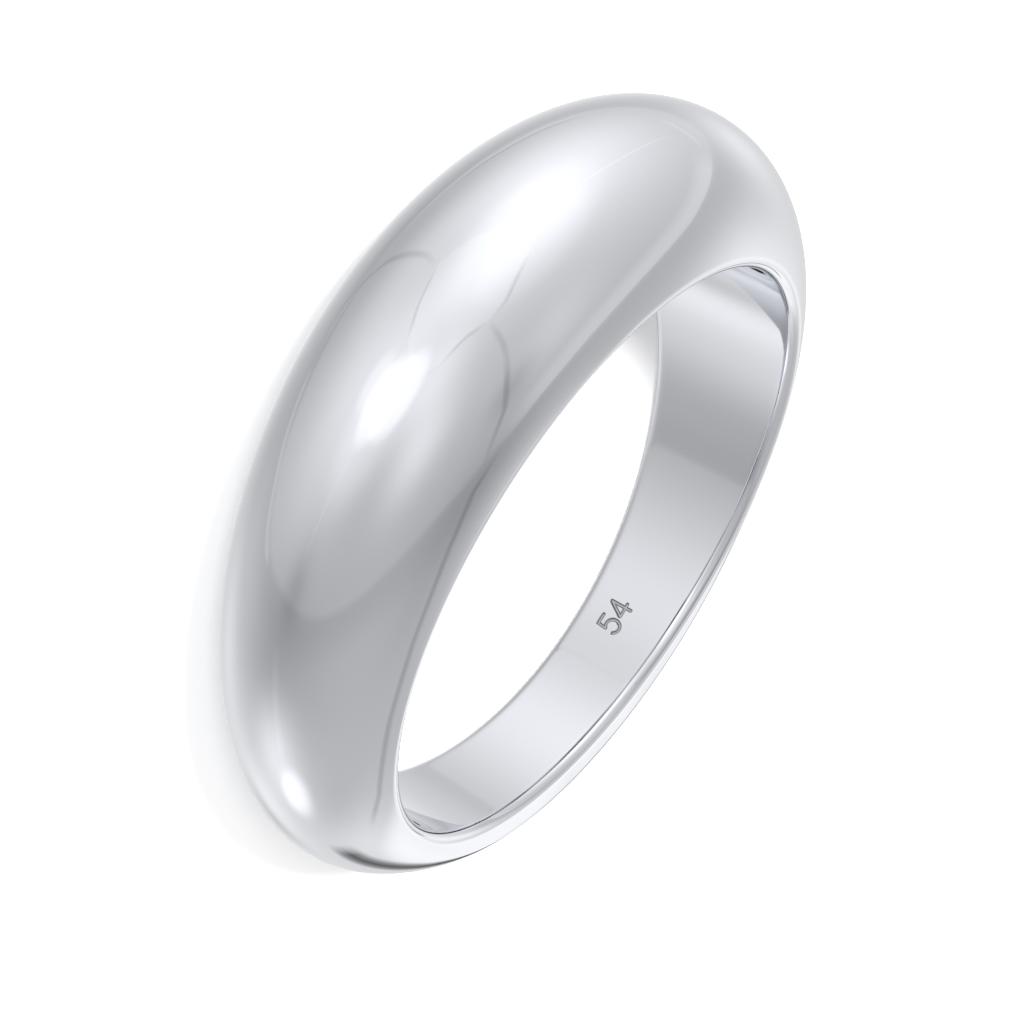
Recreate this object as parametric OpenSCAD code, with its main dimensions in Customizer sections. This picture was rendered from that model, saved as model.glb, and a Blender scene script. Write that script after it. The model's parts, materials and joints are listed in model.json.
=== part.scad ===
// A chunky domed ring, cast and polished as one piece of metal.
// It lies on its side on z = 0, with the dome towards -Y and the thin back of the shank towards +Y.
// The origin is on the surface that it lies on, under the middle of its outside.

/* [Finger hole] */
// Diameter of the finger hole
hole_d = 17.2; // [15:0.1:21]
// Radius of the eased edge between the hole's wall and the sides
edge_r = 0.3; // [0.2:0.05:0.4]

/* [Dome] */
// Width over the sides at the dome, measured at the hole's edge
dome_w = 6.7; // [5:0.1:8]
// Height of the dome over the hole's wall
dome_h = 3.55; // [2.8:0.05:4.5]
// Depth below the hole's wall at which the dome's curve is centred, so that its flanks lean in
dome_sink = 3.8; // [2:0.1:5]

/* [Back of the shank] */
// Width over the sides at the back, measured at the hole's edge
back_w = 3.0; // [2.4:0.1:4]
// Thickness of the shank at the back
back_h = 1.6; // [1.5:0.05:2.2]
// Height of the flat side at the back, before the outside rounds over
back_flat = 1.25; // [0.8:0.05:1.3]

/* [Fineness] */
// Sections round the ring
sections = 96; // [48:8:120]
// Steps over half of the outside, from a side to the crown
flank_steps = 13; // [8:1:16]
// Steps round the eased edge
edge_steps = 4; // [4:1:5]

/* [Hidden] */

hole_r = hole_d / 2;
// The outside's largest circle is set off from the hole, towards the dome
offset_to_dome = (dome_h - back_h) / 2;
outside_r = hole_r + (dome_h + back_h) / 2;
// The sides are two planes that open towards the dome
half_w = (dome_w + back_w) / 4;
side_slope = (dome_w - back_w) / 4 / (hole_r + edge_r);
side_tilt = atan(side_slope);
// The blank stands this far proud of the flat sides, so that they are cut as true planes
side_stock = 0.01;
// The eased edge starts this far inside the hole's wall, so that the hole trims it along a clean line
edge_overlap = 0.012;
// The first step up the flank, as a share of its height, where there is no flat side
first_step = 0.06;
// Depth of the blank below the hole's wall, which the hole takes away
blank_depth = 1;
hole_cut_l = 3 * dome_w;

// Height of the crown over the hole's wall, at angle a from the dome
function crown(a) = offset_to_dome * cos(a) - hole_r
    + sqrt(pow(outside_r, 2) - pow(offset_to_dome * sin(a), 2));

// Height at which the outside starts to close over, below the wall at the dome and above it at the back
function start_height(a) = (back_flat - dome_sink) / 2 - (back_flat + dome_sink) / 2 * cos(a);

// Half of the distance between the side planes, at height u over the hole's wall
function side(a, u) = half_w + side_slope * cos(a) * (hole_r + u);

// How much of that width is left at height u, as the outside closes over along an ellipse
function closing(a, u) = let (s = start_height(a))
    sqrt(1 - pow(max(u - s, 0) / (crown(a) - s), 2));

// Half width of the blank's section at height u
function flank(a, u) = (side(a, u) + side_stock) * closing(a, u) / closing(a, edge_r);

// Angle by which the flank leans in where it leaves the eased edge
function lean(a) = let (step = edge_r / 10)
    atan((flank(a, edge_r) - flank(a, edge_r + step)) / step);

function flank_foot(a) = edge_r * (1 + sin(lean(a)));
function edge_centre(a) = flank(a, flank_foot(a)) - edge_r * cos(lean(a));

// The half section as points [height over the wall, half width], from inside the hole's wall to the crown.
// Its second point on the flank is where the flat side ends, and the rest go round the ellipse in equal steps.
function half_section(a) = let (
        foot = flank_foot(a),
        top = crown(a),
        centre = edge_centre(a),
        turn = 90 + lean(a),
        low = start_height(a),
        flat_end = max(low, foot + first_step * (top - foot)),
        from = asin((flat_end - low) / (top - low))
    ) concat(
        [[-blank_depth, centre]],
        [for (i = [0 : edge_steps - 1]) let (b = turn * i / edge_steps)
            [edge_r - edge_overlap - edge_r * cos(b), centre + edge_r * sin(b)]],
        [[foot, flank(a, foot)]],
        [for (i = [0 : flank_steps - 2])
            let (b = from + (90 - from) * i / (flank_steps - 1), u = low + (top - low) * sin(b))
            [u, flank(a, u)]],
        [[top, 0]]
    );

// The whole closed section, with the lower half mirrored and the crown used once
function section(a) = let (half = half_section(a), n = len(half))
    concat([for (i = [0 : n - 2]) [half[i][0], -half[i][1]]], [for (i = [n - 1 : -1 : 0]) half[i]]);

function place(a, p) = let (r = hole_r + p[0]) [r * sin(a), -r * cos(a), p[1]];

// The blank: the closed section carried once round, with two triangles between each pair of its corners
module blank() {
    rows = [for (i = [0 : sections - 1]) let (a = 360 * i / sections) [for (p = section(a)) place(a, p)]];
    n = len(rows[0]);
    points = [for (row = rows) each row];
    function corner(i, j) = (i % sections) * n + j % n;
    faces = [for (i = [0 : sections - 1]) for (j = [0 : n - 1]) each [
        [corner(i, j), corner(i, j + 1), corner(i + 1, j)],
        [corner(i + 1, j), corner(i, j + 1), corner(i + 1, j + 1)]
    ]];
    polyhedron(points = points, faces = faces, convexity = 6);
}

// The space between the two side planes, a wedge that opens towards the dome
module between_sides() {
    reach = outside_r + 2 * offset_to_dome;
    function side_at(y) = half_w - side_slope * y;
    rotate([90, 0, 90])
    linear_extrude(height = 2 * reach, center = true)
    polygon([
        [-reach, -side_at(-reach)], [reach, -side_at(reach)],
        [reach, side_at(reach)], [-reach, side_at(-reach)]
    ]);
}

// The ring is drawn upright on its finger hole, then laid flat on its lower side
module ring() {
    color("#c9cdd2")
    translate([0, offset_to_dome * cos(side_tilt), half_w * cos(side_tilt)])
    rotate([-side_tilt, 0, 0])
    difference() {
        intersection() {
            blank();
            between_sides();
        }
        cylinder(r = hole_r, h = hole_cut_l, center = true, $fn = 180);
    }
}

ring();
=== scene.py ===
# %% [markdown]
# A chunky domed ring in polished silver
#
# The ring is one piece of metal. It was cast with its dome on top and a narrow shank at the back, filed,
# and buffed until it mirrors the room. So the lesson has two halves: a surface that is smooth enough for
# mirror reflections, and a room that is worth reflecting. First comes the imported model, which gives every
# place and size.

# %% Load the frame
import json
import math

import bmesh
import bpy
import numpy as np
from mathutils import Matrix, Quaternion, Vector
from mathutils.bvhtree import BVHTree


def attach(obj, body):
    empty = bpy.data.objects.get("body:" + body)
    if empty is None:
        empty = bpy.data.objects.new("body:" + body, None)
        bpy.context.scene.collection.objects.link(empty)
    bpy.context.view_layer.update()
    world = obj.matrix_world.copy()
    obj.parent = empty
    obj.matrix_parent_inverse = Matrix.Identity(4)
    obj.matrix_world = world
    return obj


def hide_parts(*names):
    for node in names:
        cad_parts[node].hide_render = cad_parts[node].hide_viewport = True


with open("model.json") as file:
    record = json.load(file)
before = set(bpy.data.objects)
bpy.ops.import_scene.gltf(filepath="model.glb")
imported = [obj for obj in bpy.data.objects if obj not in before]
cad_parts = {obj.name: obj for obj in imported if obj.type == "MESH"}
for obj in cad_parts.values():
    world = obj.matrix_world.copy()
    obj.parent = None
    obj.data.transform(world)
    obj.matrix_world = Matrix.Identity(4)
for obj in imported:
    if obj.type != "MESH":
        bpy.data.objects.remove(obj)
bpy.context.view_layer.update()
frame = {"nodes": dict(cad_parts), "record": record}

MM = 0.001
MOUNTS = {mount["name"]: mount for mount in frame["record"]["mounts"]}
HOLE_R = MOUNTS["finger_hole"]["dims"]["r_mm"]
HOLE_CENTRE = Vector(MOUNTS["finger_hole"]["pos_m"])
HOLE_AXIS = Vector(MOUNTS["finger_hole"]["axis"]).normalized()
print("finger hole:", HOLE_R, "mm radius, centre at", [round(value / MM, 3) for value in HOLE_CENTRE], "mm")

# %% [markdown]
# The camera
#
# The ring lies on its side, and the camera keeps the angle to it that the photograph has. That angle is
# given as a turn round the ring, a height over the floor and a roll, because the ring was photographed
# standing up. The camera could be placed by hand, but numbers from the finger hole outwards keep the
# picture steady.

# %% Set up the camera
PICTURE_SIDE = 1024
# Turn, height and roll in degrees, and distance and lens in millimetres
CAMERA_TURN = 36.45
CAMERA_HEIGHT = 30.8
CAMERA_ROLL = 114.6
CAMERA_DISTANCE = 60.6
LENS = 78.55
# Where the middle of the finger hole lies in the photograph, in pixels
HOLE_IN_PICTURE = (539.4, 522.1)


def direction(turn, height):
    """Unit vector at a turn round the ring, from -Y towards +X, and a height over the floor, in degrees."""
    a, e = math.radians(turn), math.radians(height)
    return Vector((math.sin(a) * math.cos(e), -math.cos(a) * math.cos(e), math.sin(e)))


camera = bpy.data.objects.new("camera", bpy.data.cameras.new("camera"))
bpy.context.scene.collection.objects.link(camera)
bpy.context.scene.camera = camera
to_camera = direction(CAMERA_TURN, CAMERA_HEIGHT)
camera.location = HOLE_CENTRE + to_camera * CAMERA_DISTANCE * MM
camera.rotation_mode = "QUATERNION"
roll = Quaternion((0, 0, 1), math.radians(CAMERA_ROLL))
camera.rotation_quaternion = (-to_camera).to_track_quat("-Z", "Y") @ roll
camera.data.lens = LENS
camera.data.clip_start = 1 * MM
camera.data.shift_x = (PICTURE_SIDE / 2 - HOLE_IN_PICTURE[0]) / PICTURE_SIDE
camera.data.shift_y = (HOLE_IN_PICTURE[1] - PICTURE_SIDE / 2) / PICTURE_SIDE
print("camera is", round(camera.location.z / MM, 1), "mm over the floor")

# %% [markdown]
# One helper for materials, and one for colours
#
# A shader node needs a kind, some settings and some inputs, which are either values or links from other
# nodes. One small function does all three, so that a material below reads from top to bottom like a recipe.
# Colours are written as the sRGB values that a colour picker shows, and the renderer wants them linear.

# %% Helpers for materials
WHITE = "#ffffff"


def linear(hex_colour):
    """Linear RGBA from an sRGB colour such as #c0ffee."""
    channels = [int(hex_colour[i:i + 2], 16) / 255 for i in (1, 3, 5)]
    return (*[c / 12.92 if c <= 0.04045 else ((c + 0.055) / 1.055) ** 2.4 for c in channels], 1)


def add_node(tree, kind, inputs=None, **settings):
    """Adds a node of that kind to the tree, with its settings, and its inputs as values or links."""
    node = tree.nodes.new(kind)
    for name, value in settings.items():
        setattr(node, name, value)
    for name, value in (inputs or {}).items():
        if isinstance(value, bpy.types.NodeSocket):
            tree.links.new(value, node.inputs[name])
        else:
            node.inputs[name].default_value = value
    return node


def new_material(name):
    """An empty material and its node tree."""
    material = bpy.data.materials.new(name)
    material.use_nodes = True
    material.node_tree.nodes.clear()
    return material, material.node_tree


print("white is", linear(WHITE)[:3], "in linear light")

# %% [markdown]
# One helper for meshes
#
# Everything here is a mesh from a list of points and a list of faces: the floor, the light tent and the
# ring.

# %% Helper for meshes


def add_object(name, points, faces, material, smooth=False):
    """A mesh object in the scene, from its points in metres and its faces."""
    mesh = bpy.data.meshes.new(name)
    mesh.from_pydata(points, [], faces)
    mesh.materials.append(material)
    if smooth:
        mesh.shade_smooth()
    made = bpy.data.objects.new(name, mesh)
    bpy.context.scene.collection.objects.link(made)
    return made


def grid_faces(rows, columns, round_rows=False, round_columns=False):
    """Quads between the points of a grid that is stored row by row, closed round where that is asked for."""
    row_pairs = rows if round_rows else rows - 1
    column_pairs = columns if round_columns else columns - 1
    return [(i * columns + j, i * columns + (j + 1) % columns,
             (i + 1) % rows * columns + (j + 1) % columns, (i + 1) % rows * columns + j)
            for i in range(row_pairs) for j in range(column_pairs)]


print("a grid of 3 by 4 points has", len(grid_faces(3, 4)), "quads")

# %% [markdown]
# The floor
#
# A sheet of matt white card. It is wide enough that its edge stays out of the picture, and its colour is a
# little under pure white, as bleached card is. The photographed ring stood up on its shank, with the tent
# all round it. So the card carries the ring and its shadow, but is kept out of reflections: they show the
# tent, as in the photograph.

# %% Make the floor
FLOOR_R = 400 * MM
ROUND_STEPS = 96
CARD_COLOUR = "#f4f4f4"
card, tree = new_material("matt_white_card")
paint = add_node(tree, "ShaderNodeBsdfDiffuse", {"Color": linear(CARD_COLOUR)})
add_node(tree, "ShaderNodeOutputMaterial", {"Surface": paint.outputs[0]})
round_angles = [2 * math.pi * i / ROUND_STEPS for i in range(ROUND_STEPS)]
floor = add_object("floor", [(FLOOR_R * math.cos(a), FLOOR_R * math.sin(a), 0) for a in round_angles],
                   [range(ROUND_STEPS)], card)
floor.visible_glossy = False
print("floor radius in mm:", FLOOR_R / MM)

# %% [markdown]
# The light tent
#
# Polished silver has no look of its own: it shows the room. Jewellery is photographed in a tent of white
# cloth with a lamp on either side. Area lights would give hard rectangles, so the tent is a large ball that
# glows. Behind the ring hangs a darker card, and its edge draws the long loop that frames the dome. That
# edge is three great circles, one over each shoulder and one low in front. The camera doesn't see the tent
# itself, only its reflection.

# %% Light of the cloth and the card
TENT_R = 395 * MM
# Each great circle of the card's edge lies square to one of these directions: turn, height
LEFT_EDGE, RIGHT_EDGE, LOW_EDGE = (-1, 15), (-3, 18), (-4, 10)
# Light of the cloth from deep behind the card's edge to well in front of it: sine of the angle, light
CARD_TO_CLOTH = [(-0.30, 0.55), (-0.03, 0.48), (0.03, 0.55), (1.0, 0.55)]

cloth, tree = new_material("glowing_tent_cloth")
place = add_node(tree, "ShaderNodeNewGeometry")
outward = add_node(tree, "ShaderNodeVectorMath", {0: place.outputs["Position"]},
                   operation="NORMALIZE").outputs[0]
past_left, past_right, past_low = [
    add_node(tree, "ShaderNodeVectorMath", {0: outward, 1: direction(*edge)},
             operation="DOT_PRODUCT").outputs["Value"]
    for edge in (LEFT_EDGE, RIGHT_EDGE, LOW_EDGE)]
past_one = add_node(tree, "ShaderNodeMath", {0: past_right, 1: past_low}, operation="MAXIMUM").outputs[0]
rise = add_node(tree, "ShaderNodeMath", {0: past_left, 1: past_one}, operation="MINIMUM").outputs[0]
light = CARD_TO_CLOTH[0][1]
for (low, dim), (high, bright) in zip(CARD_TO_CLOTH, CARD_TO_CLOTH[1:]):
    step = add_node(tree, "ShaderNodeMapRange",
                    {"Value": rise, "From Min": low, "From Max": high,
                     "To Min": 0.0, "To Max": bright - dim}, interpolation_type="SMOOTHSTEP")
    light = add_node(tree, "ShaderNodeMath", {0: step.outputs[0], 1: light}, operation="ADD").outputs[0]
print("cloth and card:", len(tree.nodes), "nodes")

# %% [markdown]
# Patches of light
#
# A lamp behind the cloth makes a soft patch, and the two lamps make the two white patches on the dome.
# Windows and dim places are patches too, and a dim one takes light away. Each is worked out from the angle
# between a place on the cloth and the patch's middle, so it is round as the ring sees it. A picture of a
# room would bring them all at once, but in a list each can be moved by itself.

# %% Add the patches of light
# Each patch of light: turn, height, angle at which it is half as bright, strength, and sharpness of its edge
LAMPS = {
    "left lamp": (-27, 32, 20, 0.08, 4),
    "left lamp's foot": (-25, 16, 25, 0.12, 3),
    "left lamp's glow": (-32, 3, 40, 0.70, 1),
    "right lamp": (31, 26, 12, 0.26, 4),
    "right lamp's middle": (33, 15, 12, 0.24, 4),
    "right lamp's foot": (29, 0, 8, 0.14, 3),
    "right lamp's side": (41, 18, 19, 0.18, 2),
    "right lamp's glow": (30, -8, 31, 0.34, 1),
    "light up the wall": (26, 45, 12, 0.30, 1),
    "light on the ridge": (50, 62, 11, 0.30, 1),
    "light past the ridge": (-80, 69, 9, 0.12, 1),
    "window to the right": (146, -2, 8, 0.45, 2),
    "glow round that window": (130, -7, 15, 0.50, 1),
    "glow under that window": (160, -30, 36, 0.35, 1),
    "light low behind": (150, -62, 12, 0.16, 1),
    "light for the hole's wall": (157, -28, 9, 0.17, 1),
    "window behind": (-162, 5, 14, 0.40, 3),
    "light beside it": (-136, 7, 15, 0.44, 1),
    "light over it": (-154, 50, 11, 0.30, 1),
    "light at the card's foot": (178, 7, 10, 0.22, 1),
    "light over the shoulder": (-126, 21, 10, 0.30, 1),
    "window to the left": (-103, -6, 11, 0.32, 1),
    "glow under that one": (-128, -39, 17, 0.32, 1),
    "dim corner": (114, -8, 26, -0.26, 1),
    "valley between the lamps": (-4, -12, 20, -0.25, 1),
    "dim cloth low in front": (-35, -58, 20, -0.15, 1),
    "dim top of the card": (-168, 64, 14, -0.18, 1),
    "dim ridge": (-85, 81, 5, -0.13, 1),
    "dim cloth under the ring": (140, -80, 14, -0.09, 1),
    "dim place for the hole's wall": (174, -32, 6, -0.20, 1),
    "dim place by the edge": (82, 3, 8, -0.10, 1),
    "dim foot of the card": (162, 13, 9, -0.05, 1),
}


def add_patch(tree, outward, light, turn, height, half_angle, strength, sharpness):
    """The light with one more patch in it: its share is 1 in the middle and a half at half_angle."""
    ahead = add_node(tree, "ShaderNodeVectorMath", {0: outward, 1: direction(turn, height)},
                     operation="DOT_PRODUCT")
    off = add_node(tree, "ShaderNodeMath", {0: 1.0, 1: ahead.outputs["Value"]}, operation="SUBTRACT")
    spread = add_node(tree, "ShaderNodeMath", {0: off.outputs[0], 1: 1 - math.cos(math.radians(half_angle))},
                      operation="DIVIDE")
    shaped = add_node(tree, "ShaderNodeMath", {0: spread.outputs[0], 1: sharpness}, operation="POWER")
    share = add_node(tree, "ShaderNodeMath", {0: 0.5, 1: shaped.outputs[0]}, operation="POWER")
    return add_node(tree, "ShaderNodeMath", {0: share.outputs[0], 1: strength, 2: light},
                    operation="MULTIPLY_ADD").outputs[0]


for patch in LAMPS.values():
    light = add_patch(tree, outward, light, *patch)
glow = add_node(tree, "ShaderNodeEmission", {"Color": linear(WHITE), "Strength": light})
add_node(tree, "ShaderNodeOutputMaterial", {"Surface": glow.outputs[0]})
print("tent cloth:", len(LAMPS), "patches of light,", len(tree.nodes), "nodes")

# %% [markdown]
# The tent's shape
#
# A ball's points go by turn and height, so its mesh is a grid that closes round in one direction. Its light
# is even and comes from everywhere, so rays that leave a surface find it by themselves: it is left out of
# the renderer's list of lamps, whose rays the floor would stop.

# %% Make the tent
TENT_ROWS = 48


def hang(name, points, faces, material):
    """A piece of the tent: unseen by the camera, and not in the renderer's list of lamps."""
    piece = add_object(name, points, faces, material)
    piece.visible_camera = False
    material.cycles.emission_sampling = "NONE"
    return piece


tent_points = [tuple(direction(360 * i / ROUND_STEPS, 180 * j / TENT_ROWS - 90) * TENT_R)
               for i in range(ROUND_STEPS) for j in range(TENT_ROWS + 1)]
tent = hang("light_tent", tent_points, grid_faces(ROUND_STEPS, TENT_ROWS + 1, round_rows=True), cloth)
print("light tent:", len(tent.data.polygons), "faces")

# %% [markdown]
# Seams and hems
#
# A sewn tent has seams, and a polished dome bends each of them into a thin curved line. Without them the
# dome looks like a plastic one. Each is a strip of cloth of its own: a dark one lets most of the light
# through, and a bright one adds a little. Real seams are soft, so a strip's mesh stores a share for each of
# its points, and the material reads how much of the strip there is.

# %% Make cloth for the strips


def tinted_cloth(name, through_colour, strength):
    """Cloth that lets light through in a colour and adds some of its own, both by the mesh's share."""
    material, tree = new_material(name)
    share = add_node(tree, "ShaderNodeAttribute", attribute_name="share").outputs["Fac"]
    # A mix of two colours has them at its inputs 6 and 7, and the mixed colour is its output 2
    tint = add_node(tree, "ShaderNodeMix", {"Factor": share, 6: linear(WHITE), 7: linear(through_colour)},
                    data_type="RGBA").outputs[2]
    through = add_node(tree, "ShaderNodeBsdfTransparent", {"Color": tint})
    added = add_node(tree, "ShaderNodeMath", {0: share, 1: strength}, operation="MULTIPLY")
    glow = add_node(tree, "ShaderNodeEmission", {"Color": linear(WHITE), "Strength": added.outputs[0]})
    both = add_node(tree, "ShaderNodeAddShader", {0: through.outputs[0], 1: glow.outputs[0]})
    add_node(tree, "ShaderNodeOutputMaterial", {"Surface": both.outputs[0]})
    return material


def store(piece, name, values):
    """Stores a value for each point of the piece, under a name by which its material reads it."""
    piece.data.attributes.new(name, "FLOAT", "POINT").data.foreach_set("value", values)


print("a strip's share runs from 0, where there is none of it, to 1")

# %% [markdown]
# Soft strips
#
# Each strip lies just inside the tent's cloth, along great circles, and is evenly wide as the ring sees it.
# Its share fades across it and at its ends. A seam fades to both of its sides, and a hem mostly to one.

# %% Make soft strips
TAPE_R = 390 * MM
# Steps along a strip from one of its places to the next
TAPE_STEPS = 12
# How much of a strip there is across it: place from its one side, -1, to its other side, 1, and share
SOFT = [(-1, 0), (-0.5, 0.7), (0, 1), (0.5, 0.7), (1, 0)]
HEMMED = [(-1, 0), (-0.9, 1), (0, 0.8), (0.5, 0.4), (1, 0)]


def arc_between(start, end, steps):
    """Unit vectors along the great circle from start to end, without the end itself."""
    return [start.slerp(end, i / steps) for i in range(steps)]


def add_tape(name, width, fade, profile, route, material):
    """A strip through the route's places, turn and height, its width and fading ends in degrees."""
    places = [direction(*place) for place in route]
    middle = [v for a, b in zip(places, places[1:]) for v in arc_between(a, b, TAPE_STEPS)] + [places[-1]]
    run = [0.0]
    for v, after in zip(middle, middle[1:]):
        run.append(run[-1] + math.degrees(v.angle(after)))
    points, shares = [], []
    for i, v in enumerate(middle):
        along = middle[min(i + 1, len(middle) - 1)] - middle[max(i - 1, 0)]
        side = v.cross(along).normalized() * math.tan(math.radians(width / 2))
        end_share = min(run[i] / fade, (run[-1] - run[i]) / fade, 1)
        for place, share in profile:
            points.append(tuple((v + place * side) * TAPE_R))
            shares.append(share * end_share)
    tape = hang(name, points, grid_faces(len(middle), len(profile)), material)
    store(tape, "share", shares)


print("a soft strip has", len(SOFT), "points across")

# %% [markdown]
# Where the strips run
#
# The seams meet at the panel's corners and run out from there over the roof, the wall and the floor side.
# The hems follow the edge of the card. Far behind, low down, the cloth stops short of the table, and that
# gap is the one really dark thing: it draws the black crescent at the ring's foot.

# %% Hang the seams, folds, hems and the gap
# Each cloth: the colour that it lets through, and the light that it adds
CLOTHS = {
    "seam": ("#e8e8e8", 0.0),
    "heavy_seam": ("#dedede", 0.0),
    "fold": (WHITE, 0.08),
    "hem": (WHITE, 0.11),
    "wide_hem": (WHITE, 0.14),
    "faint_hem": (WHITE, 0.05),
    "rail": ("#b4b4b4", 0.0),
    "gap": ("#6e6e6e", 0.0),
    "gap_end": ("#969696", 0.0),
}
# Each strip: cloth, profile, width, length of its fading ends, and the places that it runs through
STRIPS = {
    "seam_over_the_roof": ("seam", SOFT, 2.0, 10, [(-5, 50), (-10, 60), (-20, 70), (-40, 78)]),
    "seam_over_the_top": ("heavy_seam", SOFT, 2.4, 10, [
        (-22, 72), (-40, 78.5), (-60, 81.5), (-122, 81), (-149, 78.5), (-165, 73)]),
    "seam_left_of_panel": ("seam", SOFT, 3.0, 8, [(-5, 50), (-14, 49), (-19, 43), (-25, 35)]),
    "seam_right_of_panel": ("seam", SOFT, 2.6, 6, [(-5, 50), (6, 45), (18, 41)]),
    "seam_under_the_panel": ("seam", SOFT, 2.4, 24, [
        (-3, -14), (-7, -28), (-11, -41), (-15, -50), (-25, -62), (-41, -73), (-80, -80)]),
    "seam_low_right": ("seam", SOFT, 2.2, 8, [(-4, -14), (4, -8), (8, -5), (17, 6)]),
    "seam_up_the_card": ("heavy_seam", SOFT, 3.0, 5, [
        (177, 12), (179, 20), (176, 34), (176, 47), (180, 60), (-171, 69), (-153, 71)]),
    "seam_along_left_hem": ("seam", SOFT, 2.4, 6, [(-75, -31), (-64, -44), (-58, -55)]),
    "fold_to_the_left": ("fold", SOFT, 1.6, 8, [(-42, 18), (-50, 15), (-60, 12), (-70, 7), (-80, 2)]),
    "fold_to_the_right": ("fold", SOFT, 1.4, 14, [(42, 14), (62, 8), (80, 3)]),
    "upper_left_hem": ("fold", SOFT, 2.0, 6, [(-90, 9), (-83, -4), (-80, -12)]),
    "lower_left_hem": ("fold", SOFT, 3.0, 5, [(-77, -31), (-68, -46), (-64, -56), (-45, -74), (2, -81)]),
    "right_hem": ("hem", HEMMED, 4.0, 5, [(2, -80), (48, -73), (66, -59), (78, -44), (81, -33)]),
    "hem_of_the_card": ("wide_hem", HEMMED, 8.0, 10, [
        (-150, 75), (-122, 70), (-108, 60), (-102, 49), (-97.5, 34.5), (-92.5, 22), (-88, 8)]),
    "foot_of_the_card": ("faint_hem", HEMMED, 7.0, 10, [(98, -6), (110, -3), (124, -2), (138, -2)]),
    "rail_over_the_gap": ("rail", SOFT, 5.0, 4, [(-138, 3), (-147, 4), (-158, 4.5)]),
    "gap_under_the_rear_cloth": ("gap", SOFT, 12.0, 6, [
        (170, -3), (178, -7), (-174, -9), (-166, -11), (-140, -14)]),
    "end_of_the_gap": ("gap_end", SOFT, 5.0, 4, [(-168, -9), (-163, -11), (-150, -15), (-138, -18)]),
}
cloths = {name: tinted_cloth(name + "_cloth", *light) for name, light in CLOTHS.items()}
for name, (cloth_name, profile, width, fade, route) in STRIPS.items():
    add_tape(name, width, fade, profile, route, cloths[cloth_name])
print("tent fittings:", len(STRIPS), "strips of", len(CLOTHS), "cloths")

# %% [markdown]
# The panel
#
# One panel over the front is a little brighter than the cloth round it, and its outline follows the strips.
# Seen from the ring, a flat triangle has great circles for its sides, so a fan of triangles round the
# middle is enough.

# %% Hang the panel
PANEL_OUTLINE = [(-5, 50), (6, 45), (18, 41), (26, 28), (17, 6), (8, -5), (-4, -14),
                 (-12, -7), (-18, 2), (-26, 18), (-25, 35), (-19, 43), (-14, 49)]
PANEL_LIGHT = 0.05
outline = [direction(*place) for place in PANEL_OUTLINE]
middle = sum(outline, Vector()).normalized()
fan = [(0, i + 1, (i + 1) % len(outline) + 1) for i in range(len(outline))]
panel = hang("roof_panel", [tuple(v * TAPE_R) for v in [middle] + outline], fan,
             tinted_cloth("panel_cloth", WHITE, PANEL_LIGHT))
store(panel, "share", [1.0] * (len(outline) + 1))
print("panel:", len(fan), "triangles")

# %% [markdown]
# The lamps for the floor
#
# The tent alone leaves the floor grey. A key lamp, high and to the left of where the camera stands, brings
# the card up to white and throws the ring's soft shadow to the picture's lower left. A low fill lamp on
# the camera's side lifts the shadow under the dome. Both are kept out of reflections, because the
# photograph's dome shows no such lamps.

# %% Make the lamps for the floor
# Each lamp: turn, height, distance and width in millimetres, and power in watts
FLOOR_LAMPS = {
    "key_lamp": (-20, 50, 250, 130, 1.5),
    "fill_lamp": (36, 25, 230, 200, 0.7),
}
for name, (turn, height, distance, width, power) in FLOOR_LAMPS.items():
    lamp = bpy.data.objects.new(name, bpy.data.lights.new(name, "AREA"))
    bpy.context.scene.collection.objects.link(lamp)
    lamp.data.shape = "DISK"
    lamp.data.size = width * MM
    lamp.data.energy = power
    lamp.location = direction(turn, height) * distance * MM
    lamp.rotation_mode = "QUATERNION"
    lamp.rotation_quaternion = direction(turn, height).to_track_quat("Z", "Y")
    lamp.visible_glossy = False
    print(name, "gives", power, "W and is", width, "mm wide")

# Past the floor's edge all is white, and the Standard view keeps the tones as they were worked out
world = bpy.data.worlds.new("studio")
world.use_nodes = True
world.node_tree.nodes["Background"].inputs["Color"].default_value = linear(WHITE)
bpy.context.scene.world = world
bpy.context.scene.view_settings.view_transform = "Standard"

# %% [markdown]
# The ring's shape
#
# A caster would model this ring in wax: a round hole, two flat sides that open towards the dome, and an
# outside that closes over from side to side along half an ellipse. The same rule gives every section here,
# and only its sizes change from the dome round to the back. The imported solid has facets, which a mirror
# would show, so this surface is worked out afresh with steps of about a degree. Sizes are in millimetres,
# as in the part's source.

# %% Describe the section
# Radius of the eased edges round the hole
EDGE_R = 0.3
# At the dome: width at the hole, height over the hole's wall, and how far under it the closing starts
DOME_W, DOME_H, DOME_SINK = 6.7, 3.55, 3.8
# At the back: width, height, and how high the flat side reaches before the closing starts
BACK_W, BACK_H, BACK_FLAT = 3.0, 1.6, 1.25
# The crown runs round in a circle that is moved towards the dome
OFFSET_TO_DOME = (DOME_H - BACK_H) / 2
OUTSIDE_R = HOLE_R + (DOME_H + BACK_H) / 2
# The flat sides: their distance from the middle at the hole's centre, and how they open towards the dome
HALF_W = (DOME_W + BACK_W) / 4
SIDE_SLOPE = (DOME_W - BACK_W) / 4 / (HOLE_R + EDGE_R)


def crown(a):
    """Height of the crown over the hole's wall, at angle a from the dome."""
    return OFFSET_TO_DOME * np.cos(a) - HOLE_R + np.sqrt(OUTSIDE_R ** 2 - (OFFSET_TO_DOME * np.sin(a)) ** 2)


def start_height(a):
    """Height at which the outside starts to close over."""
    return (BACK_FLAT - DOME_SINK) / 2 - (BACK_FLAT + DOME_SINK) / 2 * np.cos(a)


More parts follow.
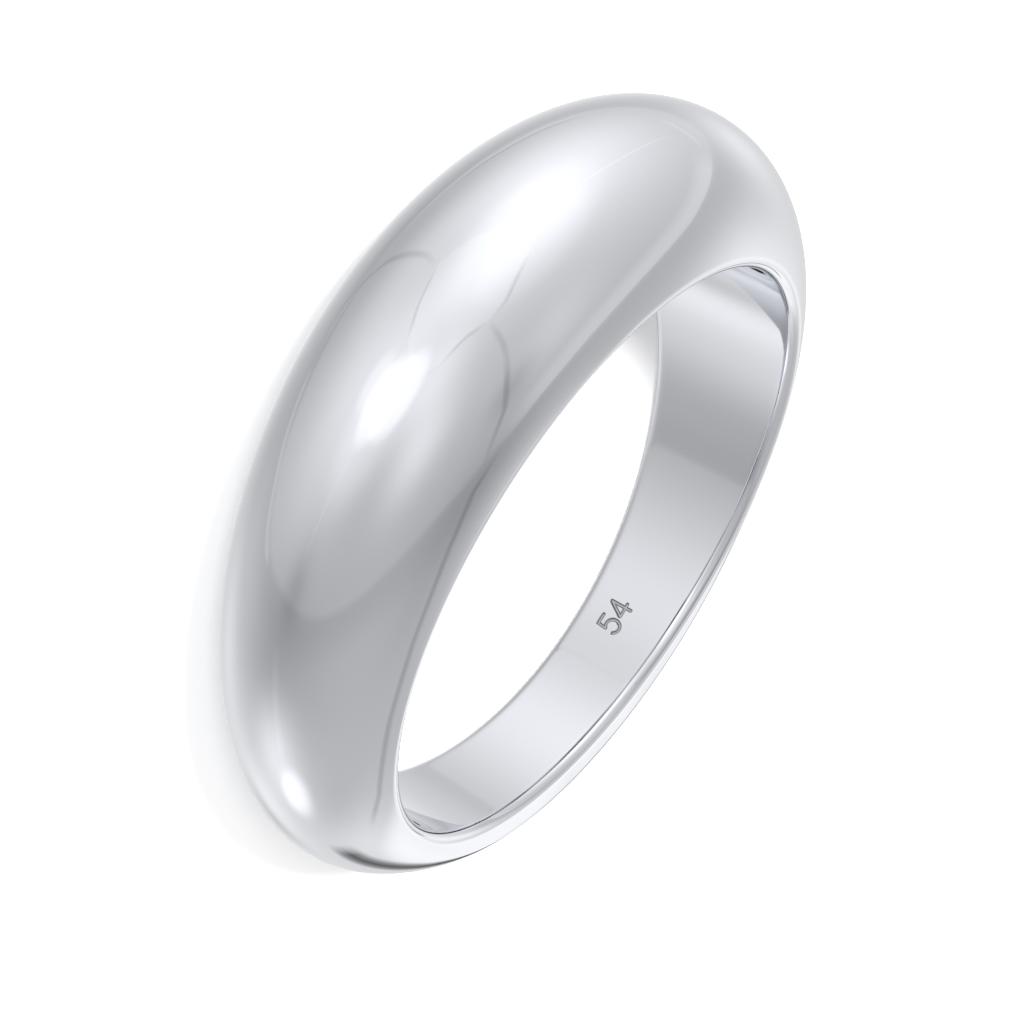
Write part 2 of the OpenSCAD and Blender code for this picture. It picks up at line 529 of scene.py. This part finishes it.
def closing(a, u):
    """How much of the width is left at height u."""
    start = start_height(a)
    rise = np.maximum(u - start, 0) / (crown(a) - start)
    return np.sqrt(np.clip(1 - rise ** 2, 0, 1))


def flank(a, u):
    """Half width of the section at height u."""
    side = HALF_W + SIDE_SLOPE * np.cos(a) * (HOLE_R + u)
    return side * closing(a, u) / closing(a, EDGE_R)


print("height of the crown:", round(float(crown(0)), 2), "mm at the dome,",
      round(float(crown(math.pi)), 2), "mm at the back")

# %% [markdown]
# The section's points
#
# The hole's wall, the eased edge, the flat side and the outside each have their own steps, closer where the
# surface turns faster.

# %% Lay out the section
EDGE_STEPS = 10
FLAT_STEPS = 6
OUTSIDE_STEPS = 36
# The first step up the flank, as a share of its height, where there is no flat side
FIRST_STEP = 0.06
# How far up the flank its slope is measured, in millimetres
SLOPE_STEP = 0.03


def half_section(a):
    """The wall's half width, then heights and half widths from the wall to the crown, one row per angle."""
    lean = np.arctan((flank(a, EDGE_R) - flank(a, EDGE_R + SLOPE_STEP)) / SLOPE_STEP)
    foot = EDGE_R * (1 + np.sin(lean))
    edge_centre = flank(a, foot) - EDGE_R * np.cos(lean)
    turn = (np.pi / 2 + lean) * np.linspace(0, 1, EDGE_STEPS, endpoint=False)
    start, top = start_height(a), crown(a)
    flat_end = np.maximum(start, foot + FIRST_STEP * (top - foot))
    flat = foot + (flat_end - foot) * np.linspace(0, 1, FLAT_STEPS, endpoint=False)
    first = np.arcsin((flat_end - start) / (top - start))
    outside = start + (top - start) * np.sin(first + (np.pi / 2 - first) * np.linspace(0, 1, OUTSIDE_STEPS))
    heights = np.hstack([EDGE_R - EDGE_R * np.cos(turn), flat, outside])
    widths = np.hstack([edge_centre + EDGE_R * np.sin(turn), flank(a, flat), flank(a, outside)])
    return edge_centre, heights, widths


print("half a section has", EDGE_STEPS + FLAT_STEPS + OUTSIDE_STEPS, "points")

# %% [markdown]
# The size stamp
#
# Inside the shank the ring carries its finger size, 54, which is the length round the hole in millimetres.
# It is struck with steel punches: a flat-bottomed groove with steep walls. Text objects and booleans leave
# ragged faces in a mirror, so the digits are drawn as strokes here, and the wall's own points sink by how
# near a stroke they are.

# %% Draw the digits
# Height of the digits, and from one digit to the next
DIGIT_H = 0.70
DIGIT_PITCH = 0.58
# Where the middle of the stamp lies: angle round the hole from the dome, and place across the wall
STAMP_ANGLE = math.radians(-155)
STAMP_ACROSS = -0.35
# Stretch round the hole, and margin over and under the digits, in which rows and columns crowd together
STAMP_LEN = 1.24
STAMP_MARGIN = 0.1
# Half the width of a groove's flat bottom, and the width of its sloping wall
STROKE_FLAT = 0.036
STROKE_WALL = 0.024
STAMP_DEPTH = 0.045
# Steps of the round stretch of a digit
ARC_STEPS = 14


def ellipse_arc(centre, radii, start, end):
    """Points along part of an ellipse, from the start angle to the end angle in degrees."""
    angles = [math.radians(start + (end - start) * i / ARC_STEPS) for i in range(ARC_STEPS + 1)]
    return [(centre[0] + radii[0] * math.cos(b), centre[1] + radii[1] * math.sin(b)) for b in angles]


# Each digit's middle line, from its lower left corner
FIVE = [(0.40, 0.70), (0.08, 0.70), (0.05, 0.40)] + ellipse_arc((0.20, 0.235), (0.215, 0.235), 130, -150)
FOUR = [(0.31, 0.00), (0.31, 0.70), (0.00, 0.20), (0.43, 0.20)]
STROKES = [(p, q) for digit, left in ((FIVE, 0), (FOUR, DIGIT_PITCH))
           for p, q in zip([(x + left, y) for x, y in digit], [(x + left, y) for x, y in digit[1:]])]


def stroke_distance(along, up):
    """Distance of each place on the wall from the middle line of the nearest stroke."""
    nearest = np.full(np.broadcast(along, up).shape, np.inf)
    for (x0, y0), (x1, y1) in STROKES:
        dx, dy = x1 - x0, y1 - y0
        t = np.clip(((along - x0) * dx + (up - y0) * dy) / (dx * dx + dy * dy), 0, 1)
        nearest = np.minimum(nearest, np.hypot(along - x0 - t * dx, up - y0 - t * dy))
    return nearest


print("size stamp:", len(STROKES), "strokes")

# %% [markdown]
# Rows and columns
#
# The section is carried round the hole at many angles, and each pair of neighbours is joined by quads. The
# rows and columns crowd together where the stamp is, because its walls are only a few hundredths of a
# millimetre wide. A mesh as fine as that all over would be far too heavy.

# %% Space the rows and columns
SECTIONS = 300
WALL_STEPS = 24
# Distance between neighbouring rows and columns where they crowd together
STAMP_STEP = 0.0125


def crowd(coarse, low, high, step):
    """The coarse places outside a stretch, and places a step apart within it."""
    fine = np.linspace(low, high, int(round((high - low) / step)) + 1)
    return np.concatenate([coarse[coarse < low - step], fine, coarse[coarse > high + step]])


half_len = STAMP_LEN / 2
half_high = DIGIT_H / 2 + STAMP_MARGIN
wall_at_stamp = half_section(np.array([[STAMP_ANGLE]]))[0].item()
angles = crowd(np.linspace(-np.pi, np.pi, SECTIONS, endpoint=False),
               STAMP_ANGLE - half_len / HOLE_R, STAMP_ANGLE + half_len / HOLE_R, STAMP_STEP / HOLE_R)
shares = crowd(np.linspace(-1, 1, WALL_STEPS + 1)[1:-1],
               (STAMP_ACROSS - half_high) / wall_at_stamp, (STAMP_ACROSS + half_high) / wall_at_stamp,
               STAMP_STEP / wall_at_stamp)
print("rows round the hole:", len(angles), "and points across the wall:", len(shares))

# %% [markdown]
# The surface
#
# The punch pushes the wall's points away from the hole's middle, and how far depends on how near a stroke
# they are. All points are first placed round an upright hole, where the sums are simple. Then the surface
# is tilted, so that the hole follows its real axis.

# %% Build the surface
a = angles[:, None]
edge_centre, heights, widths = half_section(a)
wall = edge_centre * shares[None, :]
# The digits are read from inside the hole, with their feet towards the upper side
text_len = DIGIT_PITCH + FOUR[-1][0]
from_stroke = stroke_distance((a - STAMP_ANGLE) * HOLE_R + text_len / 2, STAMP_ACROSS + DIGIT_H / 2 - wall)
# How far the punch sank: 1 in a groove's flat bottom, 0 off the strokes
sunk = np.clip((STROKE_FLAT + STROKE_WALL - from_stroke) / STROKE_WALL, 0, 1)
height = np.hstack([STAMP_DEPTH * sunk, heights, heights[:, -2::-1]])
across = np.hstack([wall, widths, -widths[:, -2::-1]])
radius = HOLE_R + height
upright = np.stack([radius * np.sin(a), -radius * np.cos(a), across], axis=2)
turn_over = np.array(Vector((0, 0, 1)).rotation_difference(HOLE_AXIS).to_matrix())
points = upright.reshape(-1, 3) @ turn_over.T * MM + np.array(HOLE_CENTRE)
faces = grid_faces(*upright.shape[:2], round_rows=True, round_columns=True)
print("surface:", len(points), "points and", len(faces), "quads")
print("the stamp sinks", round(STAMP_DEPTH * sunk.max(), 3), "mm into the wall")

# %% [markdown]
# Polished sterling silver
#
# Sterling silver is cast, filed, and buffed with finer and finer compounds. What is left is a mirror with a
# very faint haze, shallow waves where the buff pressed harder, and hairlines that run round the ring with
# the buff. They need no unwrapped surface: each place on the ring is taken in millimetres from the middle
# of the hole, so that every pattern has its real size.

# %% Find the place on the silver
silver, tree = new_material("sterling_silver_buffed")
# The place on the ring in millimetres from the middle of the hole, turned so that the hole is upright
place = add_node(tree, "ShaderNodeTexCoord").outputs["Object"]
moved = add_node(tree, "ShaderNodeVectorMath", {0: place, 1: HOLE_CENTRE}, operation="SUBTRACT").outputs[0]
set_upright = HOLE_AXIS.rotation_difference(Vector((0, 0, 1))).to_euler()
laid = add_node(tree, "ShaderNodeVectorRotate", {"Vector": moved, "Rotation": set_upright},
                rotation_type="EULER_XYZ").outputs[0]
in_mm = add_node(tree, "ShaderNodeVectorMath", {0: laid, "Scale": 1 / MM}, operation="SCALE").outputs[0]
print("the ring's places are turned by", round(math.degrees(set_upright.x), 1), "degrees")

# %% [markdown]
# Waves and hairlines
#
# Waves are a few millimetres wide and a few thousandths high, and bend the reflections a little. Hairlines
# are long round the hole and close together the other ways, so their noise is stretched. Real ones are
# finer than a render can show, so these are drawn as coarse as they need to be. Both are far too low for
# the mesh, so they are bump.

# %% Make the waves and hairlines
# Real sizes in millimetres: a buffing wave's width and height, and the hairlines' spacing, length and depth
WAVE_W, WAVE_H = 3.0, 0.004
HAIR_SPACING, HAIR_LENGTH, HAIR_DEPTH = 0.10, 6.0, 0.0001
WAVE_DETAIL, HAIR_DETAIL = 1.0, 2.0

waves = add_node(tree, "ShaderNodeTexNoise", {"Vector": in_mm, "Scale": 1 / WAVE_W, "Detail": WAVE_DETAIL})
# The hairlines' noise changes slowly round the hole, and fast along its axis and away from it
parts = add_node(tree, "ShaderNodeSeparateXYZ", {0: in_mm})
flat = add_node(tree, "ShaderNodeCombineXYZ", {0: parts.outputs[0], 1: parts.outputs[1], 2: 0.0}).outputs[0]
distance = add_node(tree, "ShaderNodeVectorMath", {0: flat}, operation="LENGTH").outputs["Value"]
round_it = add_node(tree, "ShaderNodeVectorMath", {0: flat}, operation="NORMALIZE").outputs[0]
lengthways = add_node(tree, "ShaderNodeVectorMath", {0: round_it, "Scale": HOLE_R / HAIR_LENGTH},
                      operation="SCALE").outputs[0]
hair_z = add_node(tree, "ShaderNodeMath", {0: parts.outputs[2], 1: 1 / HAIR_SPACING}, operation="MULTIPLY")
sideways = add_node(tree, "ShaderNodeCombineXYZ", {2: hair_z.outputs[0]}).outputs[0]
hair_place = add_node(tree, "ShaderNodeVectorMath", {0: lengthways, 1: sideways}, operation="ADD").outputs[0]
hair_w = add_node(tree, "ShaderNodeMath", {0: distance, 1: 1 / HAIR_SPACING}, operation="MULTIPLY").outputs[0]
hairs = add_node(tree, "ShaderNodeTexNoise",
                 {"Vector": hair_place, "W": hair_w, "Scale": 1.0, "Detail": HAIR_DETAIL},
                 noise_dimensions="4D")

wave_bump = add_node(tree, "ShaderNodeBump",
                     {"Strength": 1.0, "Distance": WAVE_H * MM, "Height": waves.outputs["Fac"]})
hair_bump = add_node(tree, "ShaderNodeBump", {"Strength": 1.0, "Distance": HAIR_DEPTH * MM,
                                              "Height": hairs.outputs["Fac"], "Normal": wave_bump.outputs[0]})
print("a wave is", WAVE_W, "mm wide and", WAVE_H, "mm high; hairlines are", HAIR_SPACING, "mm apart")

# %% [markdown]
# The silver's colour and haze, and painted shade in the stamp
#
# As for any metal, the base colour is the reflection's own, the metallic value is 1, and the IOR stays as
# it comes. The haze follows the waves. In the stamp's grooves the colour is darkened as painted shade, most
# where the grooves' walls meet their bottoms, and the polish there is made duller.

# %% Make the silver
SILVER_COLOUR = "#e3e5ea"
# Dark colour painted into the stamp's grooves as shade
GROOVE_SHADE_COLOUR = "#3c3d40"
# Roughness added in the grooves, and how much of the painted shade and dullness lies on the grooves' bottoms
GROOVE_DULL = 0.3
BOTTOM_SHARE = 0.4
# Roughness of the polish, the shares of it that the haze runs between, and the range of the waves' noise
POLISH_ROUGHNESS = 0.045
HAZE_RANGE = (0.8, 1.25)
NOISE_RANGE = (0.3, 0.7)

haze = add_node(tree, "ShaderNodeMapRange", {
    "Value": waves.outputs["Fac"], "From Min": NOISE_RANGE[0], "From Max": NOISE_RANGE[1],
    "To Min": HAZE_RANGE[0] * POLISH_ROUGHNESS, "To Max": HAZE_RANGE[1] * POLISH_ROUGHNESS})
# Share of painted shade and dullness in the stamp, read from the mesh
groove_shade_and_dull = add_node(tree, "ShaderNodeAttribute", attribute_name="groove_shade_and_dull").outputs["Fac"]
colour = add_node(tree, "ShaderNodeMix",
                  {"Factor": groove_shade_and_dull, 6: linear(SILVER_COLOUR), 7: linear(GROOVE_SHADE_COLOUR)},
                  data_type="RGBA").outputs[2]
dull = add_node(tree, "ShaderNodeMath", {0: groove_shade_and_dull, 1: GROOVE_DULL, 2: haze.outputs[0]},
                operation="MULTIPLY_ADD").outputs[0]
shader = add_node(tree, "ShaderNodeBsdfPrincipled",
                  {"Base Color": colour, "Metallic": 1.0, "Roughness": dull, "Normal": hair_bump.outputs[0]})
add_node(tree, "ShaderNodeOutputMaterial", {"Surface": shader.outputs[0]})
print("silver:", len(tree.nodes), "nodes")

# %% [markdown]
# The finished ring
#
# The surface becomes an object. Its faces have to look outwards, the share of painted shade and dullness in
# the stamp goes along as an attribute for the material, and the object stands in for the imported solid.

# %% Make the ring
ring = add_object("polished_ring", points.tolist(), faces, silver, smooth=True)
# Painted shade in the stamp: full in the crease where a groove's walls meet its bottom, and part of it on the
# bottoms
corner_share = np.clip(1 - np.abs(from_stroke - STROKE_FLAT) / STROKE_WALL, 0, 1)
groove_shade_share = np.zeros(upright.shape[:2])
groove_shade_share[:, :len(shares)] = np.maximum(corner_share, BOTTOM_SHARE * sunk)
store(ring, "groove_shade_and_dull", groove_shade_share.ravel())
shape = bmesh.new()
shape.from_mesh(ring.data)
bmesh.ops.recalc_face_normals(shape, faces=shape.faces)
print("volume in cubic mm:", round(shape.calc_volume() / MM ** 3, 1))
shape.to_mesh(ring.data)
shape.free()
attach(ring, "root")
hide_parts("ring")

# %% [markdown]
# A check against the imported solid
#
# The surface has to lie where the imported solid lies. The distance from each of the solid's corners to the
# surface shows that at once.

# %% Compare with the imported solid
surface = BVHTree.FromPolygons([v.co for v in ring.data.vertices], [p.vertices for p in ring.data.polygons])
gaps = [surface.find_nearest(v.co)[3] / MM for v in frame["nodes"]["ring"].data.vertices]
print("packed solid to this surface, mean:", round(sum(gaps) / len(gaps), 4), "mm")
print("packed solid to this surface, most:", round(max(gaps), 4), "mm")
